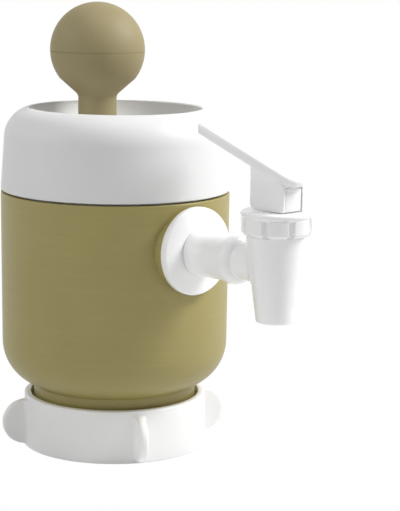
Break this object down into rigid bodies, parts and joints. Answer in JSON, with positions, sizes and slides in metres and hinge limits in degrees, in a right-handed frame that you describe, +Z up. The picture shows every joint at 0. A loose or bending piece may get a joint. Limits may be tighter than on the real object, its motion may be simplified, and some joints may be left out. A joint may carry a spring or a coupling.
{
  "type": "water jug hand pump",
  "caption": "Round hand pump with a ball knob and a side lever tap, held on the neck of a large water jug by a lugged lock ring.",
  "frame": {"origin": "centre of the jug neck's clamp bore at its mouth, on the plane that the lock ring stands on", "axes": "+Z up along the body's axis, +X from the body's axis to the tap, XZ the plane of symmetry of pump and tap"},
  "size_m": [0.1558, 0.095, 0.1843],
  "materials": {
    "olive_shell": "satin olive plastic with a faint level grain",
    "olive_knob": "smooth matte olive plastic",
    "white_cap": "smooth matte white plastic",
    "white_ring": "semi-gloss white plastic",
    "white_tap": "glossy white plastic",
    "white_nut": "satin natural plastic",
    "clear_plastic": "clear moulded plastic, shown solid",
    "white_silicone": "milky silicone rubber",
    "black_rubber": "matte black rubber",
    "stainless": "plain stainless steel"
  },
  "bodies": {
    "pump": {"housing": "olive_shell", "top_cap": "white_cap", "cap_seal": "black_rubber", "jug_seal": "white_silicone", "air_cylinder": "clear_plastic", "cylinder_gasket": "black_rubber", "cylinder_nut": "white_nut", "cylinder_head": "white_nut", "rod_bush": "white_nut", "outlet_valve": "white_silicone", "dip_fitting": "white_nut", "dip_nut": "white_nut", "riser_hose": "white_silicone", "hose_clips": "stainless", "tap_flange": "white_tap", "tap_washer": "white_silicone", "tap_nut": "white_nut", "tap_body": "white_tap", "tap_bonnet": "white_tap", "bonnet_seal": "white_silicone", "stem_spring": "stainless"},
    "plunger": {"plunger": "olive_knob", "knob_cap": "olive_knob", "piston": "white_nut", "piston_cup": "black_rubber", "cup_washer": "stainless", "piston_screw": "stainless", "bumper": "black_rubber"},
    "stem": {"valve_stem": "white_tap", "stem_plug": "white_silicone", "lever_pin": "stainless"},
    "lever": {"tap_lever": "white_tap"},
    "grip": {"grip_collet": "white_nut"},
    "ring": {"lock_ring": "white_ring"}
  },
  "joints": [
    {"name": "knob_pull", "type": "slide", "parent": "pump", "child": "plunger", "axis": [0, 0, 1], "range_m": [0, 0.05]},
    {"name": "grip_slide", "type": "slide", "parent": "pump", "child": "grip", "axis": [0, 0, 1], "range_m": [-0.00201, 0]},
    {"name": "ring_turn", "type": "hinge", "parent": "grip", "child": "ring", "pos_m": [0, 0, 0], "axis": [0, 0, 1], "range_deg": [-240, 0]},
    {"name": "stem_lift", "type": "slide", "parent": "pump", "child": "stem", "axis": [0, 0, 1], "range_m": [0, 0.00231], "stiffness_N_per_m": 1210, "springref_m": -0.003, "deforming": ["stem_spring"]},
    {"name": "lever_press", "type": "hinge", "parent": "stem", "child": "lever", "pos_m": [0.0945, 0, 0.114], "axis": [0, -1, 0], "range_deg": [0, 25]}
  ],
  "couplings": [
    {"joint": "grip_slide", "follows": "ring_turn", "m_per_rad": 0.00047746},
    {"joint": "lever_press", "follows": "stem_lift", "rad_per_m": 188.68}
  ]
}
